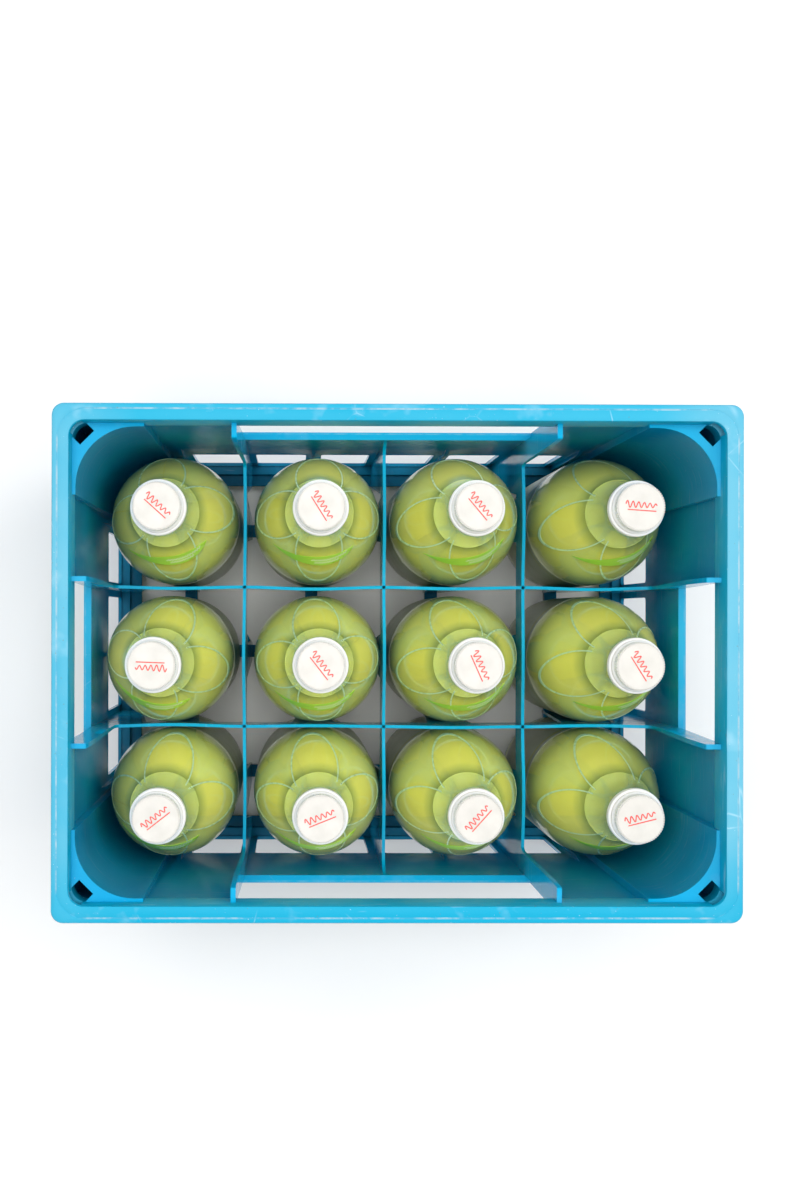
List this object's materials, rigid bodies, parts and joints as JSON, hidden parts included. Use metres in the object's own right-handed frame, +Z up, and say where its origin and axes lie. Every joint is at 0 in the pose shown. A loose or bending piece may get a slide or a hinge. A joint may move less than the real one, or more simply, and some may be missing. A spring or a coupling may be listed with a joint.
{
  "type": "bottle crate",
  "caption": "Stackable blue plastic crate with divided cells and handle slots, holding glass bottles of citrus drink under white screw caps.",
  "frame": {"origin": "centre of the crate's outside box, in the plane of the foot's underside", "axes": "+X along the four columns of bottles, +Y towards the back row, +Z up"},
  "size_m": [0.4, 0.3, 0.33],
  "materials": {
    "crate_rim": "sun-faded and scuffed",
    "crate_inside": "glossy moulded",
    "bottle_glass": "clear",
    "drink": "cloudy yellow-green",
    "cap_white": "satin white"
  },
  "bodies": {
    "crate": {"top_rim": "crate_rim", "corner_columns": "crate_inside", "front_wall": "crate_inside", "back_wall": "crate_inside", "left_wall": "crate_inside", "right_wall": "crate_inside", "foot_ring": "crate_inside", "floor_bars_long": "crate_inside", "floor_bars_cross": "crate_inside", "divider_middle": "crate_inside", "dividers_outer": "crate_inside", "dividers_row": "crate_inside"},
    "bottle_a1": {"bottle_a1": "bottle_glass", "drink_a1": "drink", "band_a1": "cap_white"},
    "cap_a1": {"cap_a1": "cap_white"},
    "bottle_a2": {"bottle_a2": "bottle_glass", "drink_a2": "drink", "band_a2": "cap_white"},
    "cap_a2": {"cap_a2": "cap_white"},
    "bottle_a3": {"bottle_a3": "bottle_glass", "drink_a3": "drink", "band_a3": "cap_white"},
    "cap_a3": {"cap_a3": "cap_white"},
    "bottle_a4": {"bottle_a4": "bottle_glass", "drink_a4": "drink", "band_a4": "cap_white"},
    "cap_a4": {"cap_a4": "cap_white"},
    "bottle_b1": {"bottle_b1": "bottle_glass", "drink_b1": "drink", "band_b1": "cap_white"},
    "cap_b1": {"cap_b1": "cap_white"},
    "bottle_b2": {"bottle_b2": "bottle_glass", "drink_b2": "drink", "band_b2": "cap_white"},
    "cap_b2": {"cap_b2": "cap_white"},
    "bottle_b3": {"bottle_b3": "bottle_glass", "drink_b3": "drink", "band_b3": "cap_white"},
    "cap_b3": {"cap_b3": "cap_white"},
    "bottle_b4": {"bottle_b4": "bottle_glass", "drink_b4": "drink", "band_b4": "cap_white"},
    "cap_b4": {"cap_b4": "cap_white"},
    "bottle_c1": {"bottle_c1": "bottle_glass", "drink_c1": "drink", "band_c1": "cap_white"},
    "cap_c1": {"cap_c1": "cap_white"},
    "bottle_c2": {"bottle_c2": "bottle_glass", "drink_c2": "drink", "band_c2": "cap_white"},
    "cap_c2": {"cap_c2": "cap_white"},
    "bottle_c3": {"bottle_c3": "bottle_glass", "drink_c3": "drink", "band_c3": "cap_white"},
    "cap_c3": {"cap_c3": "cap_white"},
    "bottle_c4": {"bottle_c4": "bottle_glass", "drink_c4": "drink", "band_c4": "cap_white"},
    "cap_c4": {"cap_c4": "cap_white"}
  },
  "joints": [
    {"name": "lift_a1", "type": "slide", "parent": "crate", "child": "bottle_a1", "axis": [0, 0, 1], "range_m": [0, 0.33]},
    {"name": "unscrew_a1", "type": "hinge", "parent": "bottle_a1", "child": "cap_a1", "pos_m": [-0.141, 0.0918, 0.308], "axis": [0, 0, 1], "range_deg": [0, 450]},
    {"name": "lift_a2", "type": "slide", "parent": "crate", "child": "bottle_a2", "axis": [0, 0, 1], "range_m": [0, 0.33]},
    {"name": "unscrew_a2", "type": "hinge", "parent": "bottle_a2", "child": "cap_a2", "pos_m": [-0.0443, 0.0918, 0.308], "axis": [0, 0, 1], "range_deg": [0, 450]},
    {"name": "lift_a3", "type": "slide", "parent": "crate", "child": "bottle_a3", "axis": [0, 0, 1], "range_m": [0, 0.33]},
    {"name": "unscrew_a3", "type": "hinge", "parent": "bottle_a3", "child": "cap_a3", "pos_m": [0.0488, 0.0918, 0.308], "axis": [0, 0, 1], "range_deg": [0, 450]},
    {"name": "lift_a4", "type": "slide", "parent": "crate", "child": "bottle_a4", "axis": [0, 0, 1], "range_m": [0, 0.33]},
    {"name": "unscrew_a4", "type": "hinge", "parent": "bottle_a4", "child": "cap_a4", "pos_m": [0.144, 0.0918, 0.308], "axis": [0, 0, 1], "range_deg": [0, 450]},
    {"name": "lift_b1", "type": "slide", "parent": "crate", "child": "bottle_b1", "axis": [0, 0, 1], "range_m": [0, 0.33]},
    {"name": "unscrew_b1", "type": "hinge", "parent": "bottle_b1", "child": "cap_b1", "pos_m": [-0.144, -0.002, 0.308], "axis": [0, 0, 1], "range_deg": [0, 450]},
    {"name": "lift_b2", "type": "slide", "parent": "crate", "child": "bottle_b2", "axis": [0, 0, 1], "range_m": [0, 0.33]},
    {"name": "unscrew_b2", "type": "hinge", "parent": "bottle_b2", "child": "cap_b2", "pos_m": [-0.0443, -0.002, 0.308], "axis": [0, 0, 1], "range_deg": [0, 450]},
    {"name": "lift_b3", "type": "slide", "parent": "crate", "child": "bottle_b3", "axis": [0, 0, 1], "range_m": [0, 0.33]},
    {"name": "unscrew_b3", "type": "hinge", "parent": "bottle_b3", "child": "cap_b3", "pos_m": [0.0488, -0.002, 0.308], "axis": [0, 0, 1], "range_deg": [0, 450]},
    {"name": "lift_b4", "type": "slide", "parent": "crate", "child": "bottle_b4", "axis": [0, 0, 1], "range_m": [0, 0.33]},
    {"name": "unscrew_b4", "type": "hinge", "parent": "bottle_b4", "child": "cap_b4", "pos_m": [0.144, -0.002, 0.308], "axis": [0, 0, 1], "range_deg": [0, 450]},
    {"name": "lift_c1", "type": "slide", "parent": "crate", "child": "bottle_c1", "axis": [0, 0, 1], "range_m": [0, 0.33]},
    {"name": "unscrew_c1", "type": "hinge", "parent": "bottle_c1", "child": "cap_c1", "pos_m": [-0.141, -0.092, 0.308], "axis": [0, 0, 1], "range_deg": [0, 450]},
    {"name": "lift_c2", "type": "slide", "parent": "crate", "child": "bottle_c2", "axis": [0, 0, 1], "range_m": [0, 0.33]},
    {"name": "unscrew_c2", "type": "hinge", "parent": "bottle_c2", "child": "cap_c2", "pos_m": [-0.0443, -0.092, 0.308], "axis": [0, 0, 1], "range_deg": [0, 450]},
    {"name": "lift_c3", "type": "slide", "parent": "crate", "child": "bottle_c3", "axis": [0, 0, 1], "range_m": [0, 0.33]},
    {"name": "unscrew_c3", "type": "hinge", "parent": "bottle_c3", "child": "cap_c3", "pos_m": [0.0488, -0.092, 0.308], "axis": [0, 0, 1], "range_deg": [0, 450]},
    {"name": "lift_c4", "type": "slide", "parent": "crate", "child": "bottle_c4", "axis": [0, 0, 1], "range_m": [0, 0.33]},
    {"name": "unscrew_c4", "type": "hinge", "parent": "bottle_c4", "child": "cap_c4", "pos_m": [0.144, -0.092, 0.308], "axis": [0, 0, 1], "range_deg": [0, 450]}
  ]
}
